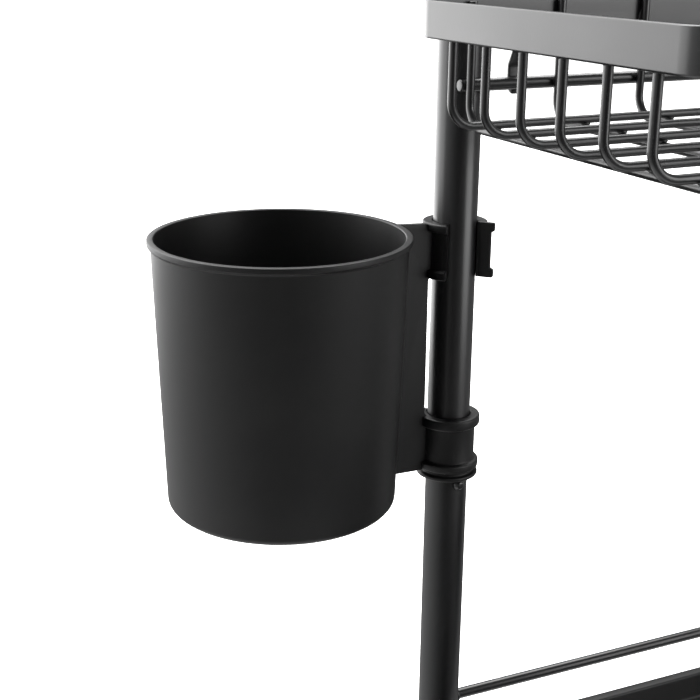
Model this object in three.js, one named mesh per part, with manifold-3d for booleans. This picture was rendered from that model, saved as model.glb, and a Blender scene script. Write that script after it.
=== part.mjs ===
// A two-tier dish drying rack: two bent tube side frames, a hanging wire basket, a slide-out drip tray
// with a lift-out plate rack, and a moulded cup that clips on to the left post and swivels round it.
// Millimetres, +Z up. The pieces are laid out from the left post's axis, with the counter at z = 0,
// +X along the rack and -Y towards the user. The whole group is then centred over its own footprint.
import * as THREE from "three";
import { mergeVertices } from "three/addons/utils/BufferGeometryUtils.js";
import Module from "manifold-3d";

const wasm = await Module();
wasm.setup();

const FIT = 0.3; // gap kept between two pieces that touch

// Side frames
const TUBE_R = 9.5;
const TUBE_WALL = 1.2;
const POST_SPACING = 364;
const POST_TOP = 371;
const TUBE_BEND = 24;
const RAIL_Z = 12.5;
const RAIL_FRONT = -188;
const REAR_FOOT_Y = -46;
const FRONT_FOOT_Y = -168;
const FOOT_HALF_WIDTH = 12.3;
const FOOT_LENGTH = 26;

// Rods and wires
const ROD_R = 2.6;
const CROSS_R = 1.7;
const LONG_R = 1.7;
const UPPER_ROD_Z = 331;
const LOWER_ROD_Z = 35.5;
const ROD_OVERHANG = 7.4;
const FRONT_ROD_Y = -140;

// Basket
const BAND_BOTTOM = 351.3;
const BAND_TOP = 365.7;
const BAND_THICK = 2;
const BAND_CORNER = 12;
const BASKET_SIDE = 29; // from a post's axis out to the band's end face
const BASKET_FRONT = -185;
const LONG_WIRES = 6;
const LONG_WIRE_Z = 318.5;
const FIRST_LONG_WIRE_Y = -38.1;
const LAST_LONG_WIRE_Y = -160.5;
const CROSS_WIRES = 10;
const CROSS_OVERHANG = 4.7; // first and last cross wire, outboard of the posts
const WIRE_BEND = 10;
const WIRE_TOP = BAND_TOP - 1.2;
const SPACER = 3.2; // from a post's face to the band's back face, with a fit gap beyond it
const SCREW_Z = 358.6;
const SCREW_HOLE_R = 2.4;
const SCREW_INSET = 2.5; // inboard of the post's axis, clear of the nearest cross wire
const SCREW_LENGTH = 12.2;
const STRAP_THICK = 1.5;
const STRAP_WIDTH = 5;
const STRAP_INSET = 20;

// Cup and its clips
const CUP_X = -81;
const CUP_BOTTOM = 157.5;
const CUP_TOP = 272.9;
const CUP_WALL = 2;
const CUP_BASE_R = 48.8;
const CUP_MOUTH_R = 52.6;
const CUP_LIP_R = 54.1;
const CLIP_IN = TUBE_R + FIT;
const CLIP_OUT = 12;
const COLLAR_OUT = 14;
const UPPER_CLIP = [248.4, 272.6];
const UPPER_COLLAR = 3.6; // the height of the collar at each end of the upper clip
const LOWER_CLIP = [155.5, 184.5];
const LOWER_COLLARS = [[155.5, 157.3], [159.6, 163], [180, 184.5]];
const UPPER_HALF_OPENING = 0.76; // the upper clip opens towards the user
const LOWER_HALF_OPENING = 0.7; // the lower clip opens towards the wall
const WEB_THICK = 3.2;
const WEB_EDGE = -12.8; // the web's free edge between the clips, a slot's width off the post
const DRAINS = 6;
const DRAIN_R = 3.5;
const DRAIN_CIRCLE_R = 26;
const STOP_HEAD_R = 2.6;
const STOP_Z = LOWER_CLIP[0] - FIT - STOP_HEAD_R; // the stud that the lower clip stands on
const STOP_TURN = 0.14; // round the post, from its front towards the rack

// Drip tray
const TRAY_BACK = -28;
const TRAY_FRONT = -186;
const TRAY_SIDE = 14;
const TRAY_FLOOR = RAIL_Z + TUBE_R + FIT;
const TRAY_RIM = 37.1;
const TRAY_CORNER = 16;
const TRAY_WALL = 2;

// Plate rack
const HOOPS = 8;
const HOOP_PITCH = 26;
const HOOP_START = 150;
const HOOP_HEIGHT = 74;
const RACK_BACK = -62;
const RACK_FRONT = -152;
const RACK_WIRE_R = 2;
const HOOP_R = 1.6;

const powderCoat = () =>
  new THREE.MeshStandardMaterial({ color: 0x17181a, roughness: 0.42, metalness: 0.1 });
const blackPlastic = () =>
  new THREE.MeshStandardMaterial({ color: 0x1b1c1e, roughness: 0.5, metalness: 0 });
const rubber = () =>
  new THREE.MeshStandardMaterial({ color: 0x101011, roughness: 0.85, metalness: 0 });
const zincSteel = () =>
  new THREE.MeshStandardMaterial({ color: 0x8d9094, roughness: 0.35, metalness: 1 });

const rack = new THREE.Group();

function addPiece(name, geometry, material) {
  const mesh = new THREE.Mesh(geometry, material);
  mesh.name = name;
  rack.add(mesh);
}

// ---- Shape helpers ----

function solidOf(geometry) {
  const bare = geometry.index ? geometry.toNonIndexed() : geometry.clone();
  bare.deleteAttribute("normal");
  bare.deleteAttribute("uv");
  const merged = mergeVertices(bare, 1e-4);
  return new wasm.Manifold(
    new wasm.Mesh({
      numProp: 3,
      vertProperties: merged.attributes.position.array,
      triVerts: new Uint32Array(merged.index.array),
    }),
  );
}

function geometryOf(solid) {
  const mesh = solid.getMesh();
  const geometry = new THREE.BufferGeometry();
  geometry.setAttribute("position", new THREE.BufferAttribute(mesh.vertProperties, 3));
  geometry.setIndex(new THREE.BufferAttribute(mesh.triVerts, 1));
  geometry.computeVertexNormals();
  return geometry;
}

function join(...geometries) {
  return geometryOf(geometries.map(solidOf).reduce((all, next) => all.add(next)));
}

function cut(geometry, ...tools) {
  return geometryOf(tools.map(solidOf).reduce((left, tool) => left.subtract(tool), solidOf(geometry)));
}

// A path of straight runs with rounded corners. It has one station at each end of a straight run
// and a few round each corner, so a bent rod costs no more faces than its bends need.
class BentPath extends THREE.Curve {
  constructor(corners, bendRadius, stepsPerBend) {
    super();
    this.places = [corners[0].clone()];
    this.directions = [corners[1].clone().sub(corners[0]).normalize()];
    for (let i = 1; i < corners.length - 1; i++) {
      const before = corners[i].clone().sub(corners[i - 1]).normalize();
      const after = corners[i + 1].clone().sub(corners[i]).normalize();
      const turn = before.angleTo(after);
      const start = corners[i].clone().addScaledVector(before, -bendRadius * Math.tan(turn / 2));
      const inward = after.clone().addScaledVector(before, -before.dot(after)).normalize();
      const centre = start.clone().addScaledVector(inward, bendRadius);
      for (let s = 0; s <= stepsPerBend; s++) {
        const angle = (turn * s) / stepsPerBend;
        const place = centre
          .clone()
          .addScaledVector(inward, -bendRadius * Math.cos(angle))
          .addScaledVector(before, bendRadius * Math.sin(angle));
        const direction = before
          .clone()
          .multiplyScalar(Math.cos(angle))
          .addScaledVector(inward, Math.sin(angle));
        this.places.push(place);
        this.directions.push(direction);
      }
    }
    this.places.push(corners.at(-1).clone());
    this.directions.push(corners.at(-1).clone().sub(corners.at(-2)).normalize());
    this.steps = this.places.length - 1;
  }
  getPointAt(u) {
    return this.places[Math.round(u * this.steps)].clone();
  }
  getTangentAt(u) {
    return this.directions[Math.round(u * this.steps)].clone();
  }
}

function bentRod(corners, radius, bendRadius, sides, hollowRadius = 0) {
  const section = new THREE.Shape().absarc(0, 0, radius, 0, 2 * Math.PI);
  if (hollowRadius > 0)
    section.holes.push(new THREE.Path().absarc(0, 0, hollowRadius, 0, 2 * Math.PI, true));
  const path = new BentPath(corners, bendRadius, 6);
  return new THREE.ExtrudeGeometry(section, {
    steps: path.steps,
    extrudePath: path,
    curveSegments: sides / 2,
  });
}

function straightRod(from, to, radius, sides = 12) {
  return bentRod([from, to], radius, 0, sides);
}

// Turns a lathed ring into a rounded rectangle: each quarter of the ring is moved out to its corner.
function squaredRing(profile, halfX, halfY, segments) {
  const phase = Math.PI / segments;
  const geometry = new THREE.LatheGeometry(profile, segments, phase);
  geometry.rotateX(Math.PI / 2);
  const p = geometry.attributes.position;
  for (let i = 0; i < p.count; i++)
    p.setXY(i, p.getX(i) + Math.sign(p.getX(i)) * halfX, p.getY(i) + Math.sign(p.getY(i)) * halfY);
  return geometry;
}

function closedProfile(points) {
  const profile = points.map(([r, z]) => new THREE.Vector2(r, z));
  profile.push(profile[0].clone());
  return profile;
}

function roundedRectangle(halfX, halfY, corner) {
  const shape = new THREE.Shape();
  shape.absarc(halfX - corner, halfY - corner, corner, 0, Math.PI / 2);
  shape.absarc(corner - halfX, halfY - corner, corner, Math.PI / 2, Math.PI);
  shape.absarc(corner - halfX, corner - halfY, corner, Math.PI, 1.5 * Math.PI);
  shape.absarc(halfX - corner, corner - halfY, corner, 1.5 * Math.PI, 2 * Math.PI);
  shape.closePath();
  return shape;
}

function slab(shape, bottom, top, curveSegments = 12) {
  const geometry = new THREE.ExtrudeGeometry(shape, {
    depth: top - bottom,
    bevelEnabled: false,
    curveSegments,
  });
  return geometry.translate(0, 0, bottom);
}

function lathed(points, segments) {
  const profile = points.map(([r, z]) => new THREE.Vector2(r, z));
  return new THREE.LatheGeometry(profile, segments).rotateX(Math.PI / 2);
}

const at = (x, y, z) => new THREE.Vector3(x, y, z);

// ---- Side frames: post, bend and base rail in one hollow tube, plugged at both ends ----

function plug() {
  const stem = TUBE_R - TUBE_WALL - FIT;
  return lathed(
    [
      [0, -8],
      [stem, -8],
      [stem, 0],
      [TUBE_R, 0],
      [TUBE_R, 1.6],
      [TUBE_R * 0.7, 3.4],
      [0, 4.2],
    ],
    16,
  );
}

function footSaddle() {
  const edge = 4;
  const shape = new THREE.Shape();
  shape.moveTo(-FOOT_HALF_WIDTH, RAIL_Z);
  shape.lineTo(-FOOT_HALF_WIDTH, edge);
  shape.quadraticCurveTo(-FOOT_HALF_WIDTH, 0, edge - FOOT_HALF_WIDTH, 0);
  shape.lineTo(FOOT_HALF_WIDTH - edge, 0);
  shape.quadraticCurveTo(FOOT_HALF_WIDTH, 0, FOOT_HALF_WIDTH, edge);
  shape.lineTo(FOOT_HALF_WIDTH, RAIL_Z);
  shape.lineTo(TUBE_R + FIT, RAIL_Z);
  shape.absarc(0, RAIL_Z, TUBE_R + FIT, 0, -Math.PI, true);
  shape.closePath();
  return new THREE.ExtrudeGeometry(shape, { depth: FOOT_LENGTH, bevelEnabled: false, curveSegments: 8 })
    .rotateX(Math.PI / 2)
    .translate(0, FOOT_LENGTH / 2, 0);
}

const bandOuterY = -TUBE_R - FIT - SPACER;

for (const [side, x] of [["left", 0], ["right", POST_SPACING]]) {
  const tube = bentRod(
    [at(x, 0, POST_TOP), at(x, 0, RAIL_Z), at(x, RAIL_FRONT, RAIL_Z)],
    TUBE_R,
    TUBE_BEND,
    16,
    TUBE_R - TUBE_WALL,
  );
  const screwX = side === "left" ? x + SCREW_INSET : x - SCREW_INSET;
  const screwHole = straightRod(at(screwX, -TUBE_R - 2, SCREW_Z), at(screwX, 0, SCREW_Z), SCREW_HOLE_R);
  const drilled = [screwHole];
  if (side === "left")
    drilled.push(straightRod(at(0, -TUBE_R - 2, STOP_Z), at(0, 0, STOP_Z), SCREW_HOLE_R).rotateZ(STOP_TURN));
  addPiece(side + "_side_tube", cut(tube, ...drilled), powderCoat());

  addPiece(side + "_post_cap", plug().translate(x, 0, POST_TOP + FIT), blackPlastic());
  addPiece(
    side + "_rail_cap",
    plug().rotateX(Math.PI / 2).translate(x, RAIL_FRONT - FIT, RAIL_Z),
    blackPlastic(),
  );
  addPiece(side + "_rear_foot", footSaddle().translate(x, REAR_FOOT_Y, 0), rubber());
  addPiece(side + "_front_foot", footSaddle().translate(x, FRONT_FOOT_Y, 0), rubber());

  // A pan-head screw goes through the basket's band and a spacer into the post.
  const screw = lathed(
    [
      [0, 0],
      [2, 0],
      [2, SCREW_LENGTH],
      [3.8, SCREW_LENGTH],
      [3.8, SCREW_LENGTH + 1.2],
      [2.8, SCREW_LENGTH + 2.2],
      [0, SCREW_LENGTH + 2.6],
    ],
    16,
  );
  const headUnderside = bandOuterY - BAND_THICK - FIT;
  addPiece(
    side + "_basket_screw",
    screw.rotateX(Math.PI / 2).translate(screwX, headUnderside + SCREW_LENGTH, SCREW_Z),
    zincSteel(),
  );
  const spacerLength = SPACER - 2 * FIT;
  const spacer = closedProfile([
    [2.5, 0],
    [5, 0],
    [5, spacerLength],
    [2.5, spacerLength],
  ]);
  addPiece(
    side + "_basket_spacer",
    new THREE.LatheGeometry(spacer, 20).translate(screwX, bandOuterY + FIT, SCREW_Z),
    blackPlastic(),
  );
}

// ---- Tie rods between the side frames ----

const rodY = -TUBE_R - FIT - ROD_R;
addPiece(
  "upper_tie_rod",
  straightRod(
    at(-ROD_OVERHANG, rodY, UPPER_ROD_Z),
    at(POST_SPACING + ROD_OVERHANG, rodY, UPPER_ROD_Z),
    ROD_R,
    16,
  ),
  powderCoat(),
);
const tieEnd = TUBE_R + FIT;
addPiece(
  "lower_tie_rod",
  straightRod(at(tieEnd, 0, LOWER_ROD_Z), at(POST_SPACING - tieEnd, 0, LOWER_ROD_Z), ROD_R, 16),
  powderCoat(),
);
addPiece(
  "front_tie_rod",
  straightRod(at(tieEnd, FRONT_ROD_Y, RAIL_Z), at(POST_SPACING - tieEnd, FRONT_ROD_Y, RAIL_Z), ROD_R, 16),
  powderCoat(),
);

// ---- Upper basket: a flat band with bent wires welded inside it ----

const bandHalfX = POST_SPACING / 2 + BASKET_SIDE;
const bandHalfY = (bandOuterY - BASKET_FRONT) / 2;
const basketMid = at(POST_SPACING / 2, (bandOuterY + BASKET_FRONT) / 2, 0);
const edge = 0.5;
const band = squaredRing(
  closedProfile([
    [BAND_CORNER - BAND_THICK, BAND_BOTTOM + edge],
    [BAND_CORNER - BAND_THICK + edge, BAND_BOTTOM],
    [BAND_CORNER - edge, BAND_BOTTOM],
    [BAND_CORNER, BAND_BOTTOM + edge],
    [BAND_CORNER, BAND_TOP - edge],
    [BAND_CORNER - edge, BAND_TOP],
    [BAND_CORNER - BAND_THICK + edge, BAND_TOP],
    [BAND_CORNER - BAND_THICK, BAND_TOP - edge],
  ]),
  bandHalfX - BAND_CORNER,
  bandHalfY - BAND_CORNER,
  32,
).translate(basketMid.x, basketMid.y, 0);
const bandHoles = [SCREW_INSET, POST_SPACING - SCREW_INSET].map((x) =>
  straightRod(at(x, bandOuterY - BAND_THICK - 2, SCREW_Z), at(x, bandOuterY + 2, SCREW_Z), SCREW_HOLE_R),
);
addPiece("basket_band", cut(band, ...bandHoles), powderCoat());

const bandInner = BAND_THICK + FIT;
const crossBack = rodY - ROD_R - FIT - CROSS_R;
const crossFront = BASKET_FRONT + bandInner + CROSS_R;
const crossZ = LONG_WIRE_Z - LONG_R - FIT - CROSS_R;
for (let i = 0; i < CROSS_WIRES; i++) {
  const pitch = (POST_SPACING + 2 * CROSS_OVERHANG) / (CROSS_WIRES - 1);
  const x = -CROSS_OVERHANG + i * pitch;
  const corners = [
    at(x, crossBack, WIRE_TOP),
    at(x, crossBack, crossZ),
    at(x, crossFront, crossZ),
    at(x, crossFront, WIRE_TOP),
  ];
  addPiece("basket_cross_wire_" + (i + 1), bentRod(corners, CROSS_R, WIRE_BEND, 8), powderCoat());
}

const longEnd = BASKET_SIDE - bandInner - LONG_R;
const longPitch = (LAST_LONG_WIRE_Y - FIRST_LONG_WIRE_Y) / (LONG_WIRES - 1);
for (let i = 0; i < LONG_WIRES; i++) {
  const y = FIRST_LONG_WIRE_Y + longPitch * i;
  const corners = [
    at(-longEnd, y, WIRE_TOP),
    at(-longEnd, y, LONG_WIRE_Z),
    at(POST_SPACING + longEnd, y, LONG_WIRE_Z),
    at(POST_SPACING + longEnd, y, WIRE_TOP),
  ];
  addPiece("basket_long_wire_" + (i + 1), bentRod(corners, LONG_R, WIRE_BEND, 8), powderCoat());
}

// A flat strap hangs from the band behind the tie rod and hooks under it, one beside each post.
function hookStrap(x) {
  const hookR = ROD_R + FIT + STRAP_THICK / 2;
  const top = at(0, bandOuterY + FIT + STRAP_THICK / 2, BAND_TOP - 2);
  const behind = rodY + hookR;
  const centreLine = [
    [top.y, top.z],
    [top.y, UPPER_ROD_Z + 13],
    [behind, UPPER_ROD_Z + 7],
    [behind, UPPER_ROD_Z],
  ];
  for (let s = 1; s <= 6; s++) {
    const angle = (-s * Math.PI) / 12;
    centreLine.push([rodY + hookR * Math.cos(angle), UPPER_ROD_Z + hookR * Math.sin(angle)]);
  }
  const outline = (offset) =>
    centreLine.map(([y, z], i) => {
      const before = centreLine[Math.max(i - 1, 0)];
      const after = centreLine[Math.min(i + 1, centreLine.length - 1)];
      const length = Math.hypot(after[0] - before[0], after[1] - before[1]);
      const normal = [(after[1] - before[1]) / length, -(after[0] - before[0]) / length];
      return new THREE.Vector2(y + normal[0] * offset, z + normal[1] * offset);
    });
  const shape = new THREE.Shape([...outline(STRAP_THICK / 2), ...outline(-STRAP_THICK / 2).reverse()]);
  return new THREE.ExtrudeGeometry(shape, { depth: STRAP_WIDTH, bevelEnabled: false })
    .rotateX(Math.PI / 2)
    .rotateZ(Math.PI / 2)
    .translate(x - STRAP_WIDTH / 2, 0, 0);
}
addPiece("left_hook_strap", hookStrap(STRAP_INSET), powderCoat());
addPiece("right_hook_strap", hookStrap(POST_SPACING - STRAP_INSET), powderCoat());

// ---- Cup: one moulding with the web and the two snap clips that hold it on the left post ----

const stop = lathed(
  [
    [0, -9],
    [2, -9],
    [2, 0],
    [STOP_HEAD_R, 0],
    [STOP_HEAD_R, 1],
    [2.2, 2],
    [0, 2.4],
  ],
  16,
);
addPiece(
  "cup_stop_stud",
  stop.rotateX(Math.PI / 2).translate(0, -TUBE_R - FIT, STOP_Z).rotateZ(STOP_TURN),
  powderCoat(),
);

function clipArc(inner, outer, openTowards, halfOpening) {
  const from = openTowards + halfOpening;
  const to = openTowards + 2 * Math.PI - halfOpening;
  const shape = new THREE.Shape();
  shape.absarc(0, 0, outer, from, to);
  shape.absarc(0, 0, inner, to, from, true);
  shape.closePath();
  return shape;
}

function cup() {
  const height = CUP_TOP - CUP_BOTTOM;
  const body = lathed(
    [
      [0, 0],
      [CUP_BASE_R - 2.6, 0],
      [CUP_BASE_R - 0.8, 0.8],
      [CUP_BASE_R, 2.6],
      [CUP_MOUTH_R, height - 3.2],
      [CUP_LIP_R, height - 2.4],
      [CUP_LIP_R, height - 0.6],
      [CUP_LIP_R - 0.6, height],
      [CUP_MOUTH_R - CUP_WALL + 0.6, height],
      [CUP_MOUTH_R - CUP_WALL, height - 0.8],
      [CUP_BASE_R - CUP_WALL, 4],
      [CUP_BASE_R - CUP_WALL - 1.8, CUP_WALL],
      [0, CUP_WALL],
    ],
    32,
  ).translate(CUP_X, 0, CUP_BOTTOM);

  const drains = [];
  for (let i = 0; i < DRAINS; i++) {
    const angle = (i * 2 * Math.PI) / DRAINS;
    const x = CUP_X + DRAIN_CIRCLE_R * Math.cos(angle);
    const y = DRAIN_CIRCLE_R * Math.sin(angle);
    drains.push(straightRod(at(x, y, CUP_BOTTOM - 2), at(x, y, CUP_BOTTOM + CUP_WALL + 2), DRAIN_R, 8));
  }

  // The web stands edge-on between the cup and the post, cut back between the two clips.
  const inRing = 0.8 - CLIP_OUT;
  const inWall = CUP_X - 0.9;
  const web = new THREE.Shape([
    new THREE.Vector2(inWall + CUP_BASE_R, LOWER_CLIP[0] + 3.2),
    new THREE.Vector2(inRing, LOWER_CLIP[0] + 3.2),
    new THREE.Vector2(inRing, LOWER_CLIP[1] - 1),
    new THREE.Vector2(WEB_EDGE, LOWER_CLIP[1] + 2.8),
    new THREE.Vector2(WEB_EDGE, UPPER_CLIP[0] - 1.6),
    new THREE.Vector2(inRing, UPPER_CLIP[0] + 1),
    new THREE.Vector2(inRing, UPPER_CLIP[1] - 0.4),
    new THREE.Vector2(inWall + CUP_MOUTH_R, UPPER_CLIP[1] - 2),
  ]);
  const webPlate = new THREE.ExtrudeGeometry(web, { depth: WEB_THICK, bevelEnabled: false })
    .rotateX(Math.PI / 2)
    .translate(0, WEB_THICK / 2, 0);

  const upperArc = (outer) => clipArc(CLIP_IN, outer, -Math.PI / 2, UPPER_HALF_OPENING);
  const lowerArc = (outer) => clipArc(CLIP_IN, outer, Math.PI / 2, LOWER_HALF_OPENING);
  const [upperFoot, upperHead] = UPPER_CLIP;
  const clips = [
    slab(upperArc(CLIP_OUT), upperFoot, upperHead, 16),
    slab(upperArc(COLLAR_OUT), upperFoot, upperFoot + UPPER_COLLAR, 16),
    slab(upperArc(COLLAR_OUT), upperHead - UPPER_COLLAR, upperHead, 16),
    slab(lowerArc(CLIP_OUT), ...LOWER_CLIP, 16),
    ...LOWER_COLLARS.map((collar) => slab(lowerArc(COLLAR_OUT), ...collar, 16)),
  ];
  // The upper clip's free arm flares into a lug that the thumb pushes open.
  const lug = new THREE.BoxGeometry(6.4, 2.2, upperHead - upperFoot)
    .rotateZ(-Math.PI / 4)
    .translate(10.4, -9.6, (upperFoot + upperHead) / 2);
  return cut(
    join(body, webPlate, ...clips, lug),
    ...drains,
  );
}
addPiece("utensil_cup", cup(), blackPlastic());

// ---- Drip tray: a drafted wall with a turned-out rim round a flat floor, resting on the rails ----

const trayHalfX = POST_SPACING / 2 + TRAY_SIDE;
const trayHalfY = (TRAY_BACK - TRAY_FRONT) / 2;
const trayMid = at(POST_SPACING / 2, (TRAY_BACK + TRAY_FRONT) / 2, 0);
const rimWidth = 3.4;
const draft = 2;
const trayWall = squaredRing(
  closedProfile([
    [TRAY_CORNER - rimWidth - draft - TRAY_WALL - 1, TRAY_FLOOR],
    [TRAY_CORNER - rimWidth - draft, TRAY_FLOOR],
    [TRAY_CORNER - rimWidth, TRAY_RIM - 3],
    [TRAY_CORNER - 0.6, TRAY_RIM - 3],
    [TRAY_CORNER, TRAY_RIM - 2.4],
    [TRAY_CORNER, TRAY_RIM - 0.6],
    [TRAY_CORNER - 0.6, TRAY_RIM],
    [TRAY_CORNER - rimWidth - TRAY_WALL, TRAY_RIM],
    [TRAY_CORNER - rimWidth - draft - TRAY_WALL, TRAY_FLOOR + TRAY_WALL],
    [TRAY_CORNER - rimWidth - draft - TRAY_WALL - 1, TRAY_FLOOR + TRAY_WALL],
  ]),
  trayHalfX - TRAY_CORNER,
  trayHalfY - TRAY_CORNER,
  32,
);
const floorInset = rimWidth + draft + TRAY_WALL - 0.5;
const trayFloor = slab(
  roundedRectangle(trayHalfX - floorInset, trayHalfY - floorInset, TRAY_CORNER - floorInset),
  TRAY_FLOOR,
  TRAY_FLOOR + TRAY_WALL,
  6,
);
addPiece("drip_tray", join(trayWall, trayFloor).translate(trayMid.x, trayMid.y, 0), blackPlastic());

// ---- Plate rack: a wire loop that lies in the tray, with a row of hoops welded on to it ----

const loopZ = TRAY_FLOOR + TRAY_WALL + FIT + RACK_WIRE_R;
const rackEnd = HOOP_START + (HOOPS - 1) * HOOP_PITCH;
const loopMargin = 12;
const loopCorner = 14;
const loopHalfX = (rackEnd - HOOP_START) / 2 + loopMargin;
const loopHalfY = (RACK_BACK - RACK_FRONT) / 2;
const loopSection = [];
for (let s = 0; s < 8; s++) {
  const angle = (s * Math.PI) / 4;
  loopSection.push([loopCorner + RACK_WIRE_R * Math.cos(angle), RACK_WIRE_R * Math.sin(angle)]);
}
addPiece(
  "plate_rack_loop",
  squaredRing(closedProfile(loopSection), loopHalfX - loopCorner, loopHalfY - loopCorner, 16).translate(
    (HOOP_START + rackEnd) / 2,
    (RACK_BACK + RACK_FRONT) / 2,
    loopZ,
  ),
  powderCoat(),
);
const hoopFoot = loopZ + RACK_WIRE_R + FIT;
for (let i = 0; i < HOOPS; i++) {
  const x = HOOP_START + i * HOOP_PITCH;
  const top = hoopFoot + HOOP_HEIGHT;
  const corners = [
    at(x, RACK_BACK, hoopFoot),
    at(x, RACK_BACK, top),
    at(x, RACK_FRONT, top),
    at(x, RACK_FRONT, hoopFoot),
  ];
  addPiece("plate_rack_hoop_" + (i + 1), bentRod(corners, HOOP_R, 30, 8), powderCoat());
}

// The origin is on the counter under the middle of the rack's footprint, the cup included.
const extent = new THREE.Box3().setFromObject(rack);
const middle = extent.getCenter(new THREE.Vector3());
rack.position.set(-middle.x, -middle.y, 0);

export default rack;
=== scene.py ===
# A two-tier dish drying rack in satin black: bent tube side frames, a welded wire basket, a moulded
# utensil cup that clips on to the left post, and a drip tray with a lift-out plate rack.
import math

import bmesh
import bpy
from mathutils import Matrix, Vector


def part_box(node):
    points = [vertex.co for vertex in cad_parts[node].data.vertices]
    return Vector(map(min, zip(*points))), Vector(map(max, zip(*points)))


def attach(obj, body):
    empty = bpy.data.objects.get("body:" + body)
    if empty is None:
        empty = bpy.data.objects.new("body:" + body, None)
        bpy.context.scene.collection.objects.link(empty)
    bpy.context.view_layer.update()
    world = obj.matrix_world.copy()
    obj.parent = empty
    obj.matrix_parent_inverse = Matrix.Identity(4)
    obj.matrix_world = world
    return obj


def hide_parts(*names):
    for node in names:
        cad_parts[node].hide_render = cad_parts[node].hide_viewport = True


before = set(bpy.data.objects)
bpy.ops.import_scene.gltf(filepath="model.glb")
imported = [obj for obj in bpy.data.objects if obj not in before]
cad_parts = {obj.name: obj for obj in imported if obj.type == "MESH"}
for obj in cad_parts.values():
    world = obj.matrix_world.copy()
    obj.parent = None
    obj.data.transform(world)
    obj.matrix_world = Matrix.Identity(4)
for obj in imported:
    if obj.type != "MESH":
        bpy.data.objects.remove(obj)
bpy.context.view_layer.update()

# ---- Camera ----
# The rack is looked at from its left front corner, a little above the basket, with a short telephoto
# lens. The aim is beside the left post, half way up, so the cup and the post fill the picture.
left_tube_low, left_tube_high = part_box("left_side_tube")
tube_radius = (left_tube_high.x - left_tube_low.x) / 2
post_x = left_tube_low.x + tube_radius
post_y = left_tube_high.y - tube_radius

camera_data = bpy.data.cameras.new("camera")
camera_data.lens = 65.16
camera_data.shift_x = 0.060
camera_data.shift_y = -0.028
camera_azimuth = math.radians(-22.883)
camera_elevation = math.radians(17.359)
camera_back = Vector(
    (
        math.sin(camera_azimuth) * math.cos(camera_elevation),
        -math.cos(camera_azimuth) * math.cos(camera_elevation),
        math.sin(camera_elevation),
    )
)
camera_aim = Vector((post_x - 0.0617, post_y + 0.0164, 0.2255))
camera = bpy.data.objects.new("camera", camera_data)
CAMERA_DISTANCE = 0.55
camera.location = camera_aim + camera_back * CAMERA_DISTANCE
camera.rotation_mode = "QUATERNION"
camera.rotation_quaternion = (-camera_back).to_track_quat("-Z", "Y")
bpy.context.scene.collection.objects.link(camera)
bpy.context.scene.camera = camera


# ---- Studio floor ----
# A white painted floor that sweeps up in one curve all round the rack, as a photographer's cove does.
# It is matt and left out of the black finish's reflections: those come from the panels and the air.
def linear(hex_colour):
    """An sRGB hex colour as linear RGBA."""
    parts = [int(hex_colour[i : i + 2], 16) / 255 for i in (1, 3, 5)]
    return [p / 12.92 if p <= 0.04045 else ((p + 0.055) / 1.055) ** 2.4 for p in parts] + [1.0]


def add_node(tree, kind, settings, fed_by):
    """Adds a node: settings go to its sockets or properties, fed_by links outputs to its sockets."""
    node = tree.nodes.new("ShaderNode" + kind)
    for name, value in settings.items():
        if name in node.inputs:
            node.inputs[name].default_value = value
        else:
            setattr(node, name, value)
    for name, output in fed_by.items():
        tree.links.new(output, node.inputs[name])
    return node


def new_material(name, **constants):
    """A material with its shader's constant values, and the tree and shader to work on."""
    material = bpy.data.materials.new(name)
    material.use_nodes = True
    shader = material.node_tree.nodes["Principled BSDF"]
    for socket, value in constants.items():
        shader.inputs[socket.replace("_", " ")].default_value = value
    return material, material.node_tree, shader


def set_ramp(ramp, low, high):
    """Gives a colour ramp its two ends, round the middle where a noise has most of its values."""
    for element, place, colour in zip(ramp.color_ramp.elements, (0.3, 0.7), (low, high)):
        element.position = place
        element.color = linear(colour)


def new_object(name, bm, sharp=math.radians(40)):
    """A linked object from a bmesh, smooth but for the edges sharper than the angle."""
    bmesh.ops.recalc_face_normals(bm, faces=bm.faces)
    mesh = bpy.data.meshes.new(name)
    bm.to_mesh(mesh)
    bm.free()
    mesh.shade_smooth()
    mesh.set_sharp_from_angle(angle=sharp)
    piece = bpy.data.objects.new(name, mesh)
    bpy.context.scene.collection.objects.link(piece)
    return piece


def bent_path(corners, bends, closed=False, steps=8):
    """Straight runs between corners, with an arc of the given radius at each inner corner."""
    path = []
    for i, corner in enumerate(corners):
        bend = bends if isinstance(bends, float) else bends[i]
        is_end = not closed and i in (0, len(corners) - 1)
        if is_end or bend == 0:
            path.append(corner.copy())
            continue
        back = (corners[i - 1] - corner).normalized()
        ahead = (corners[(i + 1) % len(corners)] - corner).normalized()
        half = back.angle(ahead) / 2
        middle = corner + (back + ahead).normalized() * (bend / math.sin(half))
        start = corner + back * (bend / math.tan(half)) - middle
        axis = start.cross(corner - middle).normalized()
        for step in range(steps + 1):
            turn = (math.pi - 2 * half) * step / steps
            path.append(middle + Matrix.Rotation(turn, 3, axis) @ start)
    return path


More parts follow.
